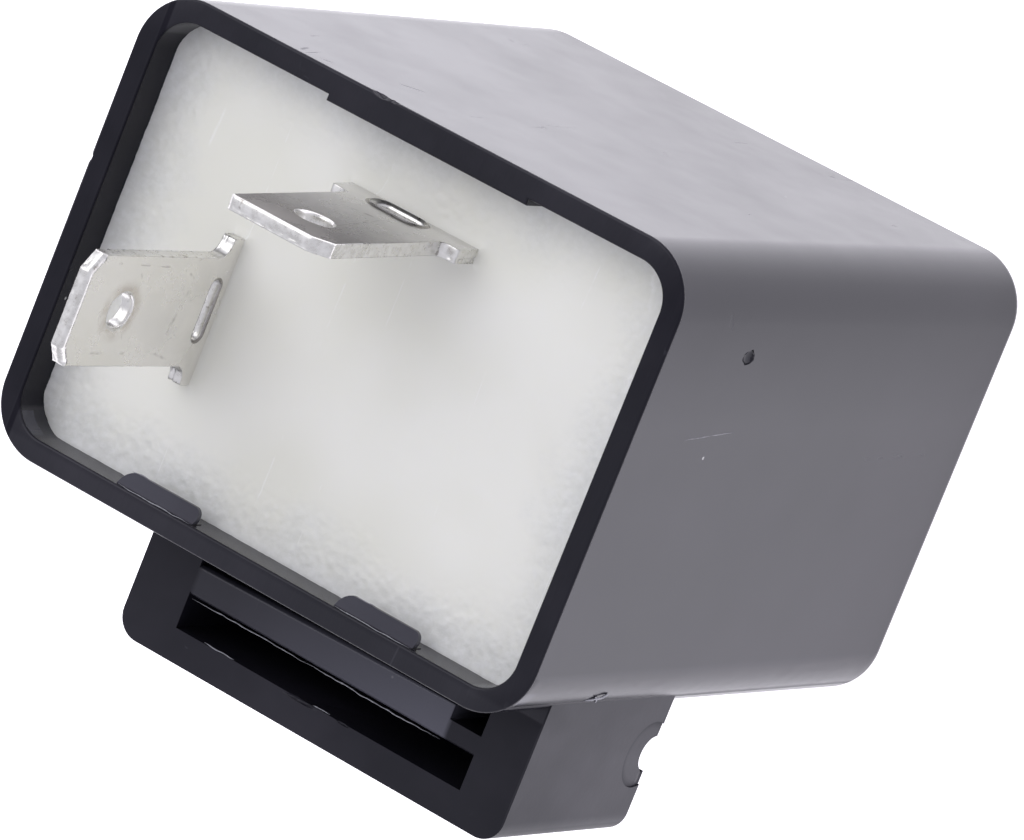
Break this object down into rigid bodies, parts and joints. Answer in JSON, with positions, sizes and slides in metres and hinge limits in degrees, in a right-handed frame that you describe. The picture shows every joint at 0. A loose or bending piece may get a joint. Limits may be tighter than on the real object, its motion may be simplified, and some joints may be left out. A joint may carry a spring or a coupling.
{
  "type": "two-terminal flasher relay",
  "caption": "Black moulded relay box potted with milky resin at its open end, with flat push-on terminals at right angles and a moulded mounting loop on one long side.",
  "frame": {"origin": "centre of the closed end of the case", "axes": "+Z out of the open end, the way the terminals point; X along the case's long side; the mounting loop is on the -Y side"},
  "size_m": [0.0362, 0.0338, 0.049],
  "materials": {
    "housing_plastic": "semi-gloss moulded black nylon",
    "potting_resin": "milky cast epoxy, slightly frosted at its edges",
    "tinned_brass": "stamped brass, bright tin plate",
    "board_laminate": "tan paper laminate",
    "copper": "bare copper foil",
    "solder": "bright solder",
    "plated_steel": "zinc-plated steel",
    "soft_iron": "turned soft iron",
    "bobbin_nylon": "natural nylon",
    "tinned_pin": "tinned wire",
    "enamelled_copper": "enamelled copper wire",
    "spring_bronze": "rolled phosphor bronze",
    "rivet_steel": "plated rivets",
    "silver": "silver alloy",
    "bracket_brass": "stamped brass",
    "spring_wire": "music wire",
    "capacitor_can": "drawn aluminium",
    "capacitor_sleeve": "shrunk vinyl sleeve",
    "capacitor_element": "wound paper and foil",
    "capacitor_bung": "moulded rubber",
    "tinned_lead": "tinned wire",
    "resistor_body": "enamelled ceramic"
  },
  "bodies": {
    "relay_base": {"housing": "housing_plastic", "potting_resin": "potting_resin", "supply_terminal": "tinned_brass", "lamp_terminal": "tinned_brass", "circuit_board": "board_laminate", "copper_tracks": "copper", "solder_joints": "solder", "relay_yoke": "plated_steel", "coil_core": "soft_iron", "coil_bobbin": "bobbin_nylon", "coil_pins": "tinned_pin", "coil_winding": "enamelled_copper", "coil_wires": "enamelled_copper", "fixed_contact": "silver", "contact_bracket": "bracket_brass", "return_spring": "spring_wire", "capacitor_can": "capacitor_can", "capacitor_sleeve": "capacitor_sleeve", "capacitor_element": "capacitor_element", "capacitor_bung": "capacitor_bung", "capacitor_leads": "tinned_lead", "resistor_body": "resistor_body", "resistor_leads": "tinned_lead"},
    "armature_set": {"armature": "plated_steel", "contact_leaf": "spring_bronze", "leaf_rivets": "rivet_steel", "moving_contact": "silver"}
  },
  "joints": [
    {"name": "armature_pivot", "type": "hinge", "parent": "relay_base", "child": "armature_set", "pos_m": [-0.0113, 0, 0.0127], "axis": [0, -1, 0], "range_deg": [0, 2], "stiffness_Nm_per_rad": 0.02, "springref_deg": -2.86, "deforming": ["return_spring"]}
  ]
}
